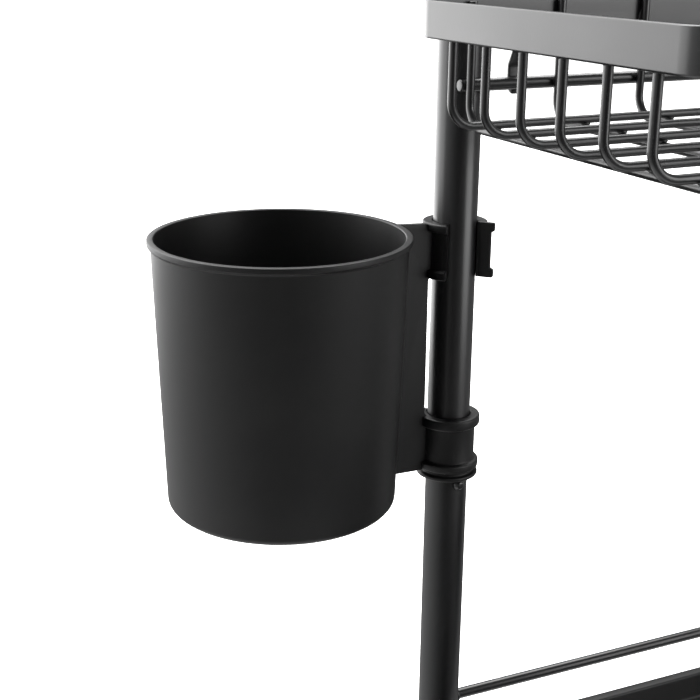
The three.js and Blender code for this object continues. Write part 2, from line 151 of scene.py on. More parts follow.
COVE_REACH = 5.0
COVE_RADIUS = 1.5
COVE_HEIGHT = 4.0
COVE_SPOKES = 96
cove_line = bent_path(
    [
        Vector((0, 0, 0)),
        Vector((COVE_REACH, 0, 0)),
        Vector((COVE_REACH, 0, COVE_HEIGHT)),
    ],
    COVE_RADIUS,
    steps=24,
)
cove_mesh = bmesh.new()
cove_middle = cove_mesh.verts.new((0, 0, 0))
cove_rings = []
for point in cove_line[1:]:
    ring = []
    for k in range(COVE_SPOKES):
        ring.append(cove_mesh.verts.new(Matrix.Rotation(2 * math.pi * k / COVE_SPOKES, 3, "Z") @ point))
    cove_rings.append(ring)
for k in range(COVE_SPOKES):
    cove_mesh.faces.new((cove_middle, cove_rings[0][k - 1], cove_rings[0][k]))
    for near, far in zip(cove_rings, cove_rings[1:]):
        cove_mesh.faces.new((near[k - 1], far[k - 1], far[k], near[k]))
cove = new_object("studio_floor", cove_mesh)
cove.visible_glossy = False

# White matt wall paint: the roller leaves it faintly mottled, so it looks soft and not like a screen.
# A little glow of its own keeps the ground pale from every side.
white_paint, tree, shader = new_material(
    "white_wall_paint", Roughness=0.85, IOR=1.45, Emission_Strength=0.5
)
place = add_node(tree, "TexCoord", {}, {})
MOTTLE_SIZE = 0.4
mottle = add_node(
    tree, "TexNoise", {"Scale": 1 / MOTTLE_SIZE, "Detail": 3.0}, {"Vector": place.outputs["Object"]}
)
tone = add_node(tree, "ValToRGB", {}, {"Fac": mottle.outputs[0]})
set_ramp(tone, "#EFEFEF", "#F5F5F5")
tree.links.new(tone.outputs["Color"], shader.inputs["Base Color"])
tree.links.new(tone.outputs["Color"], shader.inputs["Emission Color"])
cove.data.materials.append(white_paint)


# ---- Lights ----
# A large soft box hangs over and behind the rack, and panels stand behind it and on both sides. They
# reach below the floor's level, which reflections leave out. The camera's side stays dim, so the black
# finish shows bright edges round a dark middle.
def add_soft_box(name, place, aim, width, height, radiance):
    """A rectangular lamp that faces its aim. Its power follows from the radiance of its face."""
    data = bpy.data.lights.new(name, "AREA")
    data.shape = "RECTANGLE"
    data.size = width
    data.size_y = height
    data.energy = radiance * math.pi * width * height
    lamp = bpy.data.objects.new(name, data)
    lamp.location = place
    lamp.rotation_mode = "QUATERNION"
    lamp.rotation_quaternion = (Vector(aim) - Vector(place)).to_track_quat("-Z", "Y")
    lamp.visible_camera = False
    bpy.context.scene.collection.objects.link(lamp)


add_soft_box("top_soft_box", (0.0, 1.0, 1.9), (0.0, 0.6, 0.0), 2.6, 1.4, 9.0)
add_soft_box("back_wall_panel", (-0.85, 2.2, 0.8), (-0.6, 0.0, 0.8), 2.3, 2.4, 4.3)
add_soft_box("left_panel", (-2.0, 1.15, 0.6), (0.0, 0.4, 0.6), 1.5, 1.8, 3.0)
add_soft_box("right_panel", (0.98, -1.2, 0.6), (0.0, 0.0, 0.3), 1.1, 1.3, 4.6)

# The air itself is dim in front of the rack, brighter towards its left rear, and bright straight
# below, where the white floor under the rack throws light back up.
world = bpy.data.worlds.new("studio_air")
world.use_nodes = True
tree = world.node_tree
heading = add_node(tree, "TexCoord", {}, {})
LEFT_REAR = (-0.884, 0.467, 0.0)
towards_left_rear = add_node(tree, "VectorMath", {"operation": "DOT_PRODUCT"}, {})
towards_left_rear.inputs[1].default_value = LEFT_REAR
tree.links.new(heading.outputs["Generated"], towards_left_rear.inputs[0])
reach = add_node(
    tree, "MapRange", {"From Min": -1.0, "From Max": 1.0}, {"Value": towards_left_rear.outputs["Value"]}
)
air = add_node(tree, "ValToRGB", {}, {"Fac": reach.outputs["Result"]})
# How bright the air is, from the right front, at 0, to the left rear, at 1.
AIR_STRENGTH = 2.0
AIR = ((0.0, 0.6), (0.2, 0.3), (0.4, 0.12), (0.5, 0.12), (0.65, 0.3), (0.8, 0.7), (1.0, 1.3))
for place, _ in AIR[1:-1]:
    air.color_ramp.elements.new(place)
for stop, (_, radiance) in zip(air.color_ramp.elements, AIR):
    shade = radiance / AIR_STRENGTH
    stop.color = (shade, shade, shade, 1)
height = add_node(tree, "SeparateXYZ", {}, {"Vector": heading.outputs["Generated"]})
depth = add_node(
    tree, "MapRange", {"From Min": -0.64, "From Max": -0.82}, {"Value": height.outputs["Z"]}
)
underfoot = add_node(tree, "ValToRGB", {}, {"Fac": depth.outputs["Result"]})
underfoot.color_ramp.elements[0].color = (0, 0, 0, 1)
underfoot.color_ramp.elements[1].color = (0.7, 0.7, 0.7, 1)
all_air = add_node(tree, "VectorMath", {"operation": "ADD"}, {})
tree.links.new(air.outputs["Color"], all_air.inputs[0])
tree.links.new(underfoot.outputs["Color"], all_air.inputs[1])
background = tree.nodes["Background"]
background.inputs["Strength"].default_value = AIR_STRENGTH
tree.links.new(all_air.outputs["Vector"], background.inputs["Color"])
bpy.context.scene.world = world
bpy.context.scene.view_settings.view_transform = "Standard"


# ---- Side tubes ----
# Each side of the rack is one 19 mm round steel tube, bent once at the foot so that the post runs on
# as the rail under the tray. The tube is powder coated after welding, so its surface has no seam.
MM = 0.001
POST_BEND = 24 * MM

# Satin black polyester powder coat. The powder melts into a skin with a faint orange peel about a
# millimetre across, which breaks up reflections a little, and its gloss wanders over a few centimetres.
powder_coat, tree, shader = new_material("satin_black_powder_coat", IOR=1.5)
place = add_node(tree, "TexCoord", {}, {})
peel = add_node(
    tree,
    "TexNoise",
    {"Scale": 1 / (1.2 * MM), "Detail": 2.0, "Roughness": 0.5},
    {"Vector": place.outputs["Object"]},
)
skin = add_node(tree, "Bump", {"Strength": 0.35, "Distance": 0.03 * MM}, {"Height": peel.outputs[0]})
drift = add_node(
    tree, "TexNoise", {"Scale": 1 / (35 * MM), "Detail": 3.0}, {"Vector": place.outputs["Object"]}
)
gloss = add_node(
    tree,
    "MapRange",
    {"From Min": 0.3, "From Max": 0.7, "To Min": 0.27, "To Max": 0.33},
    {"Value": drift.outputs[0]},
)
tone = add_node(tree, "ValToRGB", {}, {"Fac": drift.outputs[0]})
set_ramp(tone, "#09090A", "#0D0D0E")
tree.links.new(tone.outputs["Color"], shader.inputs["Base Color"])
tree.links.new(gloss.outputs["Result"], shader.inputs["Roughness"])
tree.links.new(skin.outputs["Normal"], shader.inputs["Normal"])


def swept_rod(name, path, radius, sides=20, end_round=0.4 * MM):
    """A solid rod along a path, its section kept from twisting and its two cut ends eased."""
    runs = [(b - a).normalized() for a, b in zip(path, path[1:])]
    headings = [runs[0]] + [(a + b).normalized() for a, b in zip(runs, runs[1:])] + [runs[-1]]
    ease = []
    for step in range(4):
        angle = math.pi / 2 * step / 3
        ease.append((end_round * (1 - math.sin(angle)), radius - end_round * (1 - math.cos(angle))))
    first = [(path[0] + headings[0] * inset, headings[0], r) for inset, r in reversed(ease)]
    last = [(path[-1] - headings[-1] * inset, headings[-1], r) for inset, r in ease]
    between = [(point, heading, radius) for point, heading in zip(path[1:-1], headings[1:-1])]
    bm = bmesh.new()
    sideways = headings[0].orthogonal().normalized()
    rings = []
    for point, heading, r in first + between + last:
        sideways = (sideways - heading * sideways.dot(heading)).normalized()
        upward = heading.cross(sideways)
        ring = []
        for k in range(sides):
            angle = 2 * math.pi * k / sides
            ring.append(bm.verts.new(point + (sideways * math.cos(angle) + upward * math.sin(angle)) * r))
        rings.append(ring)
    for near, far in zip(rings, rings[1:]):
        for k in range(sides):
            bm.faces.new((near[k - 1], near[k], far[k], far[k - 1]))
    bm.faces.new(rings[0])
    bm.faces.new(rings[-1])
    return new_object(name, bm)


def fit_piece(piece, material, slot, body, *nodes):
    """Gives a piece its material, the body it moves with and the solids it stands for. Its slot argument
    is not used.
    """
    piece.data.materials.append(material)
    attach(piece, body)
    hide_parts(*nodes)


for side in ("left", "right"):
    node = side + "_side_tube"
    low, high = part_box(node)
    x = (low.x + high.x) / 2
    corners = [
        Vector((x, high.y - tube_radius, high.z)),
        Vector((x, high.y - tube_radius, low.z + tube_radius)),
        Vector((x, low.y, low.z + tube_radius)),
    ]
    tube = swept_rod(side + "_bent_tube", bent_path(corners, POST_BEND, steps=20), tube_radius, 56)
    fit_piece(tube, powder_coat, "powder_coated_steel", "frame", node)


# ---- Tube end caps ----
# A moulded plug closes each open end of the tubes, at the top of the posts and the front of the
# rails. Its domed head sits flush with the tube's outside, and its slightly tapered stem is in the bore.
PLUG_HEAD = 4.2
PLUG_STEM = 8
TUBE_WALL = 1.2

# Black polypropylene straight from a spark-eroded mould: an even matt grain, so highlights are broad
# and soft and never mirror-like. The real grain is too fine to show, so it is drawn at 0.45 mm.
black_plastic, tree, shader = new_material("black_polypropylene", IOR=1.49, Specular_IOR_Level=0.3)
place = add_node(tree, "TexCoord", {}, {})
grain = add_node(
    tree,
    "TexNoise",
    {"Scale": 1 / (0.45 * MM), "Detail": 2.0, "Roughness": 0.6},
    {"Vector": place.outputs["Object"]},
)
skin = add_node(tree, "Bump", {"Strength": 0.3, "Distance": 0.012 * MM}, {"Height": grain.outputs[0]})
drift = add_node(
    tree, "TexNoise", {"Scale": 1 / (45 * MM), "Detail": 2.0}, {"Vector": place.outputs["Object"]}
)
gloss = add_node(
    tree,
    "MapRange",
    {"From Min": 0.3, "From Max": 0.7, "To Min": 0.42, "To Max": 0.5},
    {"Value": drift.outputs[0]},
)
tone = add_node(tree, "ValToRGB", {}, {"Fac": drift.outputs[0]})
set_ramp(tone, "#060607", "#090909")
tree.links.new(tone.outputs["Color"], shader.inputs["Base Color"])
tree.links.new(gloss.outputs["Result"], shader.inputs["Roughness"])
tree.links.new(skin.outputs["Normal"], shader.inputs["Normal"])


def rounded_profile(points, closed=False, steps=5):
    """An outline of (across, up, corner radius) in millimetres, as points in metres."""
    corners = [Vector((across, 0, up)) * MM for across, up, _ in points]
    return bent_path(corners, [radius * MM for _, _, radius in points], closed, steps)


def turned(name, profile, segments=48, half_x=0.0, half_y=0.0, capped=False):
    """Turns a profile about Z. Half lengths pull the circle out into a rectangle with round corners.

    A profile off the axis closes on itself, unless it is capped with a flat face at both its ends.
    """
    squared = half_x > 0 or half_y > 0
    spokes = []
    for quarter in range(4):
        for k in range(segments // 4 + (1 if squared else 0)):
            angle = math.pi / 2 * (quarter + 4 * k / segments)
            corner_x = half_x if quarter in (0, 3) else -half_x
            corner_y = half_y if quarter in (0, 1) else -half_y
            spokes.append((math.cos(angle), math.sin(angle), corner_x, corner_y))
    bm = bmesh.new()
    rings = []
    for point in profile:
        if point.x < 1e-7 and not squared:
            rings.append([bm.verts.new((0, 0, point.z))])
        else:
            rings.append(
                [bm.verts.new((point.x * c + cx, point.x * s + cy, point.z)) for c, s, cx, cy in spokes]
            )
    on_axis = len(rings[0]) == 1
    pairs = list(zip(rings, rings[1:]))
    if not on_axis and not capped:
        pairs.append((rings[-1], rings[0]))
    for near, far in pairs:
        for k in range(len(spokes)):
            if len(near) == 1:
                bm.faces.new((near[0], far[k], far[k - 1]))
            elif len(far) == 1:
                bm.faces.new((near[k - 1], near[k], far[0]))
            else:
                bm.faces.new((near[k - 1], near[k], far[k], far[k - 1]))
    if capped:
        bm.faces.new(rings[0])
        bm.faces.new(rings[-1])
    return new_object(name, bm)


def move(piece, matrix):
    """Moves a piece's own mesh, so that the piece's object stays at the origin."""
    piece.data.transform(matrix)


bore_radius = tube_radius / MM - TUBE_WALL
plug_profile = [
    (0, -PLUG_STEM, 0),
    (bore_radius - 0.5, -PLUG_STEM, 0.8),
    (bore_radius - 0.3, -0.3, 0),
    (tube_radius / MM, 0, 0.3),
    (tube_radius / MM, 1.7, 1.2),
    (5.2, 4.0, 5),
    (0, PLUG_HEAD, 0),
]
for side in ("left", "right"):
    node = side + "_post_cap"
    low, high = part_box(node)
    cap = turned(side + "_post_plug", rounded_profile(plug_profile), 48)
    move(cap, Matrix.Translation(((low.x + high.x) / 2, (low.y + high.y) / 2, high.z - PLUG_HEAD * MM)))
    fit_piece(cap, black_plastic, "moulded_plastic", "frame", node)
    node = side + "_rail_cap"
    low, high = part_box(node)
    cap = turned(side + "_rail_plug", rounded_profile(plug_profile), 48)
    end = Matrix.Translation(((low.x + high.x) / 2, low.y + PLUG_HEAD * MM, (low.z + high.z) / 2))
    move(cap, end @ Matrix.Rotation(math.pi / 2, 4, "X"))
    fit_piece(cap, black_plastic, "moulded_plastic", "frame", node)


# ---- Feet ----
# Four rubber saddles pushed up on to the rails, two on each side. Each cradles the lower half of the
# tube and stands on a flat sole, so the rack neither slides nor marks the counter.
FOOT_LENGTH = 26
FIT_GAP = 0.3

# Moulded nitrile rubber: matt, nearly black, with a slight dusty bloom in patches. Its pores are drawn
# at 0.5 mm, coarser than the real ones, so that they show.
rubber, tree, shader = new_material("black_nitrile_rubber", IOR=1.52)
place = add_node(tree, "TexCoord", {}, {})
bloom = add_node(
    tree, "TexNoise", {"Scale": 1 / (6 * MM), "Detail": 4.0}, {"Vector": place.outputs["Object"]}
)
tone = add_node(tree, "ValToRGB", {}, {"Fac": bloom.outputs[0]})
set_ramp(tone, "#0C0C0D", "#161617")
pores = add_node(
    tree, "TexNoise", {"Scale": 1 / (0.5 * MM), "Detail": 2.0}, {"Vector": place.outputs["Object"]}
)
skin = add_node(tree, "Bump", {"Strength": 0.4, "Distance": 0.03 * MM}, {"Height": pores.outputs[0]})
gloss = add_node(tree, "MapRange", {"To Min": 0.7, "To Max": 0.9}, {"Value": bloom.outputs[0]})
tree.links.new(tone.outputs["Color"], shader.inputs["Base Color"])
tree.links.new(gloss.outputs["Result"], shader.inputs["Roughness"])
tree.links.new(skin.outputs["Normal"], shader.inputs["Normal"])


def thick_plate(name, outline, depth, edge, steps=3):
    """Extrudes an outline in the XZ plane along Y, half to each side, and rounds both its rims."""
    bm = bmesh.new()
    face = bm.faces.new([bm.verts.new(point + Vector((0, -depth / 2, 0))) for point in outline])
    moved = bmesh.ops.extrude_face_region(bm, geom=[face])["geom"]
    for vertex in moved:
        if isinstance(vertex, bmesh.types.BMVert):
            vertex.co.y += depth
    rims = [e for e in bm.edges if abs(e.verts[0].co.y - e.verts[1].co.y) < 1e-9]
    bmesh.ops.bevel(
        bm, geom=rims, offset=edge, segments=steps, profile=0.5, affect="EDGES", clamp_overlap=False
    )
    return new_object(name, bm)


for side in ("left", "right"):
    for end in ("rear", "front"):
        node = side + "_" + end + "_foot"
        low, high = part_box(node)
        half_width = (high.x - low.x) / 2 / MM
        rail_z = high.z / MM
        cradle = tube_radius / MM + FIT_GAP
        outline = [Vector((half_width, 0, rail_z)) * MM]
        for step in range(25):
            angle = -math.pi * step / 24
            outline.append(Vector((cradle * math.cos(angle), 0, rail_z + cradle * math.sin(angle))) * MM)
        sole = rounded_profile(
            [
                (-half_width, rail_z, 0),
                (-half_width, 0, 3.5),
                (half_width, 0, 3.5),
                (half_width, rail_z, 0),
            ],
            steps=6,
        )
        outline += sole[:-1]
        foot = thick_plate(side + "_" + end + "_rubber_foot", outline, FOOT_LENGTH * MM, 0.8 * MM)
        move(foot, Matrix.Translation(((low.x + high.x) / 2, (low.y + high.y) / 2, 0)))
        fit_piece(foot, rubber, "foot_rubber", "frame", node)


# ---- Tie rods ----
# Three 5 mm steel rods join the two side tubes: one under the back of the basket, lying across the
# front of the posts with its sawn ends showing, and two butt-welded between posts and between rails.
for node in ("upper_tie_rod", "lower_tie_rod", "front_tie_rod"):
    low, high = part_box(node)
    radius = (high.z - low.z) / 2
    y = (low.y + high.y) / 2
    z = (low.z + high.z) / 2
    ends = [Vector((low.x, y, z)), Vector((high.x, y, z))]
    rod = swept_rod(node.replace("tie_rod", "cross_rod"), ends, radius, 32, 0.7 * MM)
    fit_piece(rod, powder_coat, "powder_coated_steel", "frame", node)


# ---- Basket band ----
# A flat steel strip, 14.4 mm tall and 2 mm thick with rolled edges, bent round four corners and
# butt-welded into a ring. It is the basket's rim and is bolted to the two posts.
BAND_CORNER = 12
BAND_THICK = 2
low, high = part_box("basket_band")
band_low, band_high = low.copy(), high.copy()
band_profile = rounded_profile(
    [
        (BAND_CORNER - BAND_THICK, low.z / MM, 0.7),
        (BAND_CORNER, low.z / MM, 0.9),
        (BAND_CORNER, high.z / MM, 0.9),
        (BAND_CORNER - BAND_THICK, high.z / MM, 0.7),
    ],
    closed=True,
    steps=6,
)
band = turned(
    "rim_band",
    band_profile,
    segments=80,
    half_x=(high.x - low.x) / 2 - BAND_CORNER * MM,
    half_y=(high.y - low.y) / 2 - BAND_CORNER * MM,
)
move(band, Matrix.Translation(((low.x + high.x) / 2, (low.y + high.y) / 2, 0)))
fit_piece(band, powder_coat, "powder_coated_steel", "frame", "basket_band")


# ---- Basket wires ----
# Ten 3.4 mm steel wires run down, across and up from back to front, and six more lie on them from end
# to end. Each is cut, bent into a square U and resistance welded inside the band.
WIRE_BEND = 10 * MM
cross_wires = sorted(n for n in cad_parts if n.startswith("basket_cross_wire_"))
long_wires = sorted(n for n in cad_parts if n.startswith("basket_long_wire_"))
for node in cross_wires:
    low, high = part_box(node)
    radius = (high.x - low.x) / 2
    x = (low.x + high.x) / 2
    corners = [
        Vector((x, high.y - radius, high.z)),
        Vector((x, high.y - radius, low.z + radius)),
        Vector((x, low.y + radius, low.z + radius)),
        Vector((x, low.y + radius, high.z)),
    ]
    wire = swept_rod(node.replace("basket_", ""), bent_path(corners, WIRE_BEND, steps=14), radius)
    fit_piece(wire, powder_coat, "powder_coated_steel", "frame", node)
for node in long_wires:
    low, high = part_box(node)
    radius = (high.y - low.y) / 2
    y = (low.y + high.y) / 2
    corners = [
        Vector((low.x + radius, y, high.z)),
        Vector((low.x + radius, y, low.z + radius)),
        Vector((high.x - radius, y, low.z + radius)),
        Vector((high.x - radius, y, high.z)),
    ]
    wire = swept_rod(node.replace("basket_", ""), bent_path(corners, WIRE_BEND, steps=14), radius)
    fit_piece(wire, powder_coat, "powder_coated_steel", "frame", node)


# ---- Weld beads of the basket and frame ----
# Every place where two wires cross, or a wire or rod meets the band or a post, has a small bead of
# melted steel. Under the powder coat it shows as a soft lump that closes the corner.
def weld_beads(name, beads):
    """One object of smooth lumps, each a (centre, half sizes in millimetres)."""
    bm = bmesh.new()
    for centre, half_sizes in beads:
        shape = Matrix.Translation(centre) @ Matrix.Diagonal((*[s * MM for s in half_sizes], 1))
        bmesh.ops.create_uvsphere(bm, u_segments=14, v_segments=9, radius=1, matrix=shape)
    return new_object(name, bm, math.pi)


beads = []
for cross in cross_wires:
    cross_low, cross_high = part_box(cross)
    x = (cross_low.x + cross_high.x) / 2
    for long in long_wires:
        long_low, long_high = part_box(long)
        beads.append((Vector((x, (long_low.y + long_high.y) / 2, long_low.z)), (2.1, 1.9, 1.0)))
    for y in (cross_low.y, cross_high.y):
        beads.append((Vector((x, y, band_low.z + 4 * MM)), (2.2, 1.0, 4.5)))
for long in long_wires:
    long_low, long_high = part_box(long)
    for x in (long_low.x, long_high.x):
        beads.append((Vector((x, (long_low.y + long_high.y) / 2, band_low.z + 4 * MM)), (1.0, 1.9, 4.5)))
fit_piece(weld_beads("basket_weld_beads", beads), powder_coat, "powder_coated_steel", "frame")

beads = []
for side, inward in (("left", 1), ("right", -1)):
    low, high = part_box(side + "_side_tube")
    x = (low.x + high.x) / 2
    rod_low, rod_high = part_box("upper_tie_rod")
    beads.append((Vector((x, rod_high.y, (rod_low.z + rod_high.z) / 2)), (5.0, 1.5, 2.4)))
    for rod in ("lower_tie_rod", "front_tie_rod"):
        rod_low, rod_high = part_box(rod)
        middle = (rod_low + rod_high) / 2
        beads.append((Vector((x + inward * tube_radius, middle.y, middle.z)), (1.7, 3.7, 3.7)))
fit_piece(weld_beads("frame_weld_beads", beads), powder_coat, "powder_coated_steel", "frame")


# ---- Hook straps ----
# Near each post a flat strap, 5 mm wide and pressed from 1.5 mm steel, hangs from the band, jogs back
# round the upper tie rod and hooks under it, which stops the basket from tipping forward.
STRAP = 1.5
for side in ("left", "right"):
    node = side + "_hook_strap"
    low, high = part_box(node)
    rod_low, rod_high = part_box("upper_tie_rod")
    rod_y = (rod_low.y + rod_high.y) / 2
    rod_z = (rod_low.z + rod_high.z) / 2
    hook_radius = (rod_high.z - rod_low.z) / 2 + (FIT_GAP + STRAP / 2) * MM
    front = band_high.y + (FIT_GAP + STRAP / 2) * MM
    line = bent_path(
        [
            Vector((front, 0, high.z)),
            Vector((front, 0, rod_z + 13 * MM)),
            Vector((rod_y + hook_radius, 0, rod_z + 7 * MM)),
            Vector((rod_y + hook_radius, 0, rod_z)),
        ],
        4 * MM,
        steps=6,
    )
    for step in range(1, 13):
        angle = -math.pi / 2 * step / 12
        along = rod_y + hook_radius * math.cos(angle)
        line.append(Vector((along, 0, rod_z + hook_radius * math.sin(angle))))
    faces = {1: [], -1: []}
    for i, point in enumerate(line):
        heading = (line[min(i + 1, len(line) - 1)] - line[max(i - 1, 0)]).normalized()
        for face in faces:
            faces[face].append(point + Vector((heading.z, 0, -heading.x)) * (face * STRAP / 2 * MM))
    strap = thick_plate(side + "_basket_hook", faces[1] + faces[-1][::-1], high.x - low.x, 0.35 * MM)
    move(strap, Matrix.Translation(((low.x + high.x) / 2, 0, 0)) @ Matrix.Rotation(math.pi / 2, 4, "Z"))
    fit_piece(strap, powder_coat, "powder_coated_steel", "frame", node)


# ---- Basket screws and spacers ----
# A pan-head machine screw goes through the band and a moulded spacer into each post. It is bright
# zinc-plated steel with a cross recess, and only its head shows, inside the basket.
def combined(piece, others, operation):
    """Joins or cuts a piece with others by an exact boolean, and keeps one clean mesh."""
    for other in others:
        change = piece.modifiers.new("combine", "BOOLEAN")
        change.operation = operation
        change.solver = "EXACT"
        change.object = other
    bpy.context.view_layer.update()
    made = bpy.data.meshes.new_from_object(piece.evaluated_get(bpy.context.evaluated_depsgraph_get()))
    piece.modifiers.clear()
    piece.data = made
    made.shade_smooth()
    made.set_sharp_from_angle(angle=math.radians(34))
    for other in others:
        bpy.data.objects.remove(other)


# Zinc plate: a pale blue-grey metal, satin from the tumbling barrel, with faint cloudy patches.
zinc_plate, tree, shader = new_material("zinc_plated_steel", Metallic=1.0)
place = add_node(tree, "TexCoord", {}, {})
cloud = add_node(
    tree, "TexNoise", {"Scale": 1 / (1.5 * MM), "Detail": 3.0}, {"Vector": place.outputs["Object"]}
)
tone = add_node(tree, "ValToRGB", {}, {"Fac": cloud.outputs[0]})
set_ramp(tone, "#9C9FA4", "#B4B7BB")
gloss = add_node(tree, "MapRange", {"To Min": 0.25, "To Max": 0.42}, {"Value": cloud.outputs[0]})
tree.links.new(tone.outputs["Color"], shader.inputs["Base Color"])
tree.links.new(gloss.outputs["Result"], shader.inputs["Roughness"])

for side in ("left", "right"):
    node = side + "_basket_screw"
    low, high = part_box(node)
    middle_x = (low.x + high.x) / 2
    middle_z = (low.z + high.z) / 2
    length = (high.y - low.y) / MM
    screw_profile = [
        (0, 0, 0),
        (1.4, 0, 0.3),
        (2.0, 1.0, 0.3),
        (2.0, length - 2.6, 0.2),
        (3.8, length - 2.6, 0.3),
        (3.8, length - 1.4, 1.0),
        (2.4, length - 0.1, 1.6),
        (0, length, 0),
    ]
    screw = turned(side + "_pan_head_screw", rounded_profile(screw_profile), 48)
    blades = []
    for turn in (0, math.pi / 2):
        slot = rounded_profile([(-1.9, -2, 0), (1.9, -2, 0), (1.9, 2, 0), (-1.9, 2, 0)], closed=True)
        blade = thick_plate("recess", slot, 0.75 * MM, 0.1 * MM)
        move(blade, Matrix.Translation((0, 0, (length + 0.7) * MM)) @ Matrix.Rotation(turn, 4, "Z"))
        blades.append(blade)
    combined(screw, blades, "DIFFERENCE")
    move(screw, Matrix.Translation((middle_x, high.y, middle_z)) @ Matrix.Rotation(math.pi / 2, 4, "X"))
    fit_piece(screw, zinc_plate, "plated_screw", "frame", node)

    node = side + "_basket_spacer"
    low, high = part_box(node)
    thick = (high.y - low.y) / MM
    spacer_profile = [(2.5, 0, 0.2), (5, 0, 0.4), (5, thick, 0.4), (2.5, thick, 0.2)]
    spacer = turned(side + "_band_spacer", rounded_profile(spacer_profile, closed=True), 40)
    move(spacer, Matrix.Translation((middle_x, high.y, middle_z)) @ Matrix.Rotation(math.pi / 2, 4, "X"))
    fit_piece(spacer, black_plastic, "moulded_plastic", "frame", node)


# ---- Utensil cup ----
# One polypropylene moulding: a tapered cup with a thin turned-out lip, a web that stands edge-on
# beside the post, and two C-shaped clips with collars that snap round the tube and turn on it.
cup_low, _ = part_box("utensil_cup")
LIP_RADIUS = 54.1
cup_x = cup_low.x / MM + LIP_RADIUS
cup_y = post_y / MM
clip_bottom = cup_low.z / MM
cup_bottom = clip_bottom + 2.0
cup_top = 272.9
web_top = 273.0
cup_height = cup_top - cup_bottom
cup_profile = [
    (0, 0.6, 0),
    (42.5, 0.6, 0.5),
    (43.5, 0, 0.5),
    (48.8, 0, 3.0),
    (52.6, cup_height - 3.0, 1.0),
    (54.1, cup_height - 2.2, 0.6),
    (54.1, cup_height, 0.5),
    (51.2, cup_height, 0.5),
    (46.8, 2.4, 3.0),
    (0, 2.4, 0),
]
cup = turned("clip_on_cup", rounded_profile(cup_profile, steps=6), 144)
move(cup, Matrix.Translation((cup_x * MM, cup_y * MM, cup_bottom * MM)))

CLIP_BORE = 9.8
SLEEVE = 12.0
COLLAR = 14.0
WEB_THICK = 3.2
WEB_EDGE = -12.8
upper_bottom = 248.4
upper_top = 272.6
lower_top = 184.5
# The web and clips are made round the post's own axis, and the web ends inside the cup's wall.
in_wall = cup_x - post_x / MM - 0.9
web_outline = rounded_profile(
    [
        (in_wall + 48.8, clip_bottom + 3.2, 0),
        (-SLEEVE + 0.8, clip_bottom + 3.2, 0),
        (-SLEEVE + 0.8, lower_top - 1, 0),
        (WEB_EDGE, lower_top + 1.6, 1.0),
        (WEB_EDGE, upper_bottom - 1.0, 0.8),
        (-SLEEVE + 0.8, upper_bottom + 1, 0),
        (-SLEEVE + 0.8, upper_top - 0.5, 0),
        (in_wall + 52.6, web_top, 0),
    ],
    closed=True,
)
web = thick_plate("web", web_outline, WEB_THICK * MM, 0.5 * MM)


def clip_ring(name, profile, start, finish, segments=72):
    """Sweeps a closed profile round Z between two angles, with its two end faces eased."""
    rings = []
    bm = bmesh.new()
    for k in range(segments + 1):
        turn = start + (finish - start) * k / segments
        rings.append([bm.verts.new(Matrix.Rotation(turn, 3, "Z") @ point) for point in profile])
    for near, far in zip(rings, rings[1:]):
        for k in range(len(profile)):
            bm.faces.new((near[k - 1], near[k], far[k], far[k - 1]))
    ends = [bm.faces.new(rings[0]), bm.faces.new(rings[-1])]
    rims = [edge for face in ends for edge in face.edges]
    bmesh.ops.bevel(
        bm, geom=rims, offset=0.35 * MM, segments=2, profile=0.5, affect="EDGES", clamp_overlap=True
    )
    return new_object(name, bm)


upper_profile = rounded_profile(
    [
        (CLIP_BORE, upper_bottom, 0.4),
        (COLLAR, upper_bottom, 0.8),
        (COLLAR, upper_bottom + 3.6, 0.8),
        (SLEEVE, upper_bottom + 4.0, 0.5),
        (SLEEVE, upper_top - 4.0, 0.5),
        (COLLAR, upper_top - 3.6, 0.8),
        (COLLAR, upper_top, 0.8),
        (CLIP_BORE, upper_top, 0.4),
    ],
    closed=True,
    steps=4,
)
UPPER_HALF_OPENING = 0.76
upper_clip = clip_ring(
    "upper_clip",
    upper_profile,
    -math.pi / 2 + UPPER_HALF_OPENING,
    1.5 * math.pi - UPPER_HALF_OPENING,
)
lower_profile = rounded_profile(
    [
        (CLIP_BORE, clip_bottom, 0.3),
        (COLLAR - 0.2, clip_bottom, 0.8),
        (COLLAR - 0.2, clip_bottom + 1.8, 0.7),
        (SLEEVE, clip_bottom + 2.2, 0.4),
        (SLEEVE, clip_bottom + 3.8, 0.4),
        (COLLAR, clip_bottom + 4.2, 0.8),
        (COLLAR, clip_bottom + 7.5, 0.8),
        (SLEEVE, clip_bottom + 8.0, 0.5),
        (SLEEVE, lower_top - 5.0, 0.5),
        (COLLAR, lower_top - 4.5, 0.9),
        (COLLAR, lower_top, 0.9),
        (CLIP_BORE, lower_top, 0.3),
    ],
    closed=True,
    steps=4,
)
LOWER_HALF_OPENING = 0.7
lower_clip = clip_ring(
    "lower_clip",
    lower_profile,
    math.pi / 2 + LOWER_HALF_OPENING,
    2.5 * math.pi - LOWER_HALF_OPENING,
)

# A lug flares out from the upper clip's free arm, with an ear at its top and bottom to pull it open by.
lug_height = upper_top - upper_bottom
lug_outline = rounded_profile(
    [
        (0, 0, 0),
        (6.6, 0, 0.9),
        (6.6, 3.6, 0.7),
        (5.2, 4.4, 0.5),
        (5.2, lug_height - 4.4, 0.5),
        (6.6, lug_height - 3.6, 0.7),
        (6.6, lug_height, 0.9),
        (0, lug_height, 0),
    ],
    closed=True,
)
lug = thick_plate("lug", lug_outline, 2.2 * MM, 0.5 * MM)
lug_root = Matrix.Translation((8.1 * MM, -7.3 * MM, upper_bottom * MM))
move(lug, lug_root @ Matrix.Rotation(-math.pi / 4, 4, "Z"))
attached = [web, upper_clip, lower_clip, lug]
for part in attached:
    move(part, Matrix.Translation((post_x, post_y, 0)))
combined(cup, attached, "UNION")

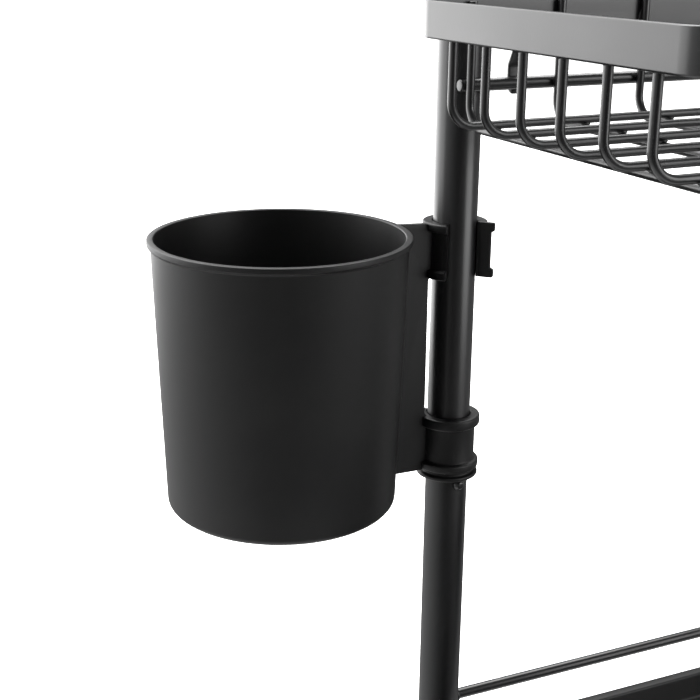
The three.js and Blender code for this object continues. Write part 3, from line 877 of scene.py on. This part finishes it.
# Six small holes in the cup's floor let water drip on to the counter.
DRAINS = 6
DRAIN_RADIUS = 3.5
DRAIN_CIRCLE = 26
drains = []
for i in range(DRAINS):
    angle = 2 * math.pi * i / DRAINS
    drain_x = cup_x + DRAIN_CIRCLE * math.cos(angle)
    drain_y = cup_y + DRAIN_CIRCLE * math.sin(angle)
    ends = [Vector((drain_x, drain_y, cup_bottom + reach)) * MM for reach in (-10, 10)]
    drains.append(swept_rod("drain", ends, DRAIN_RADIUS * MM, 32))
combined(cup, drains, "DIFFERENCE")
fit_piece(cup, black_plastic, "moulded_plastic", "cup", "utensil_cup")


# ---- Cup stop ----
# A small domed stud is riveted into the front of the left post, just under the lower clip. It carries
# the cup at the right height and is coated together with the post.
low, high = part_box("cup_stop_stud")
stud_place = Vector(((low.x + high.x) / 2, low.y, (low.z + high.z) / 2))
outward = Vector((stud_place.x - post_x, stud_place.y - post_y, 0)).normalized()
stud_profile = [
    (0, -3, 0),
    (2, -3, 0),
    (2, 0, 0.3),
    (2.6, 0, 0.3),
    (2.6, 0.9, 0.8),
    (1.5, 2.3, 1.0),
    (0, 2.4, 0),
]
stud = turned("cup_stop", rounded_profile(stud_profile), 32)
seat = Vector((post_x, post_y, stud_place.z)) + outward * (tube_radius + 0.1 * MM)
move(stud, Matrix.Translation(seat) @ outward.to_track_quat("Z", "Y").to_matrix().to_4x4())
fit_piece(stud, powder_coat, "powder_coated_steel", "frame", "cup_stop_stud")


# ---- Drip tray ----
# A shallow polypropylene tray that slides forward on the rails. Its drafted wall ends in a rolled
# rim, and grooves across its floor lead the water away from what stands in it.
TRAY_CORNER = 16
tray_low, tray_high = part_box("drip_tray")
floor_z = tray_low.z / MM
rim_z = tray_high.z / MM
tray_profile = rounded_profile(
    [
        (6, floor_z, 0),
        (10.6, floor_z, 2.0),
        (12.4, rim_z - 3.2, 0.5),
        (15.0, rim_z - 3.2, 0.4),
        (16.0, rim_z - 2.6, 0.5),
        (16.0, rim_z, 1.4),
        (10.6, rim_z, 1.2),
        (8.8, floor_z + 2, 2.0),
        (6, floor_z + 2, 0),
    ],
    steps=5,
)
tray = turned(
    "sliding_drip_tray",
    tray_profile,
    segments=64,
    half_x=(tray_high.x - tray_low.x) / 2 - TRAY_CORNER * MM,
    half_y=(tray_high.y - tray_low.y) / 2 - TRAY_CORNER * MM,
    capped=True,
)
tray_middle = (tray_low + tray_high) / 2
move(tray, Matrix.Translation((tray_middle.x, tray_middle.y, 0)))
GROOVES = 13
GROOVE_RADIUS = 1.8
groove_half = (tray_high.y - tray_low.y) / 2 - 22 * MM
grooves = []
for i in range(GROOVES):
    x = tray_low.x + (tray_high.x - tray_low.x) * (i + 1) / (GROOVES + 1)
    z = (floor_z + 2 + 0.9) * MM
    ends = [Vector((x, tray_middle.y - groove_half, z)), Vector((x, tray_middle.y + groove_half, z))]
    grooves.append(swept_rod("groove", ends, GROOVE_RADIUS * MM, 16, 1.2 * MM))
combined(tray, grooves, "DIFFERENCE")
fit_piece(tray, black_plastic, "moulded_plastic", "tray", "drip_tray")


# ---- Plate rack ----
# A loop of 4 mm wire lies on the tray's floor, and eight hoops of 3.2 mm wire stand on it for plates.
# The hoops are welded to the loop, and the whole rack is coated and lifts straight out.
LOOP_CORNER = 14 * MM
HOOP_BEND = 30 * MM
low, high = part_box("plate_rack_loop")
loop_radius = (high.z - low.z) / 2
section = []
for k in range(16):
    angle = 2 * math.pi * k / 16
    across = LOOP_CORNER + loop_radius * math.cos(angle)
    section.append(Vector((across, 0, loop_radius * math.sin(angle))))
loop = turned(
    "plate_rack_base_loop",
    section,
    segments=48,
    half_x=(high.x - low.x) / 2 - LOOP_CORNER - loop_radius,
    half_y=(high.y - low.y) / 2 - LOOP_CORNER - loop_radius,
)
move(loop, Matrix.Translation((low + high) / 2))
fit_piece(loop, powder_coat, "powder_coated_steel", "plate_rack", "plate_rack_loop")

beads = []
for node in sorted(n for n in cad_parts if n.startswith("plate_rack_hoop_")):
    low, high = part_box(node)
    radius = (high.x - low.x) / 2
    x = (low.x + high.x) / 2
    corners = [
        Vector((x, high.y - radius, low.z)),
        Vector((x, high.y - radius, high.z - radius)),
        Vector((x, low.y + radius, high.z - radius)),
        Vector((x, low.y + radius, low.z)),
    ]
    hoop = swept_rod(node.replace("rack_hoop", "hoop"), bent_path(corners, HOOP_BEND, steps=18), radius)
    fit_piece(hoop, powder_coat, "powder_coated_steel", "plate_rack", node)
    for y in (low.y + radius, high.y - radius):
        beads.append((Vector((x, y, low.z)), (2.3, 2.2, 1.2)))
fit_piece(weld_beads("plate_rack_weld_beads", beads), powder_coat, "powder_coated_steel", "plate_rack")
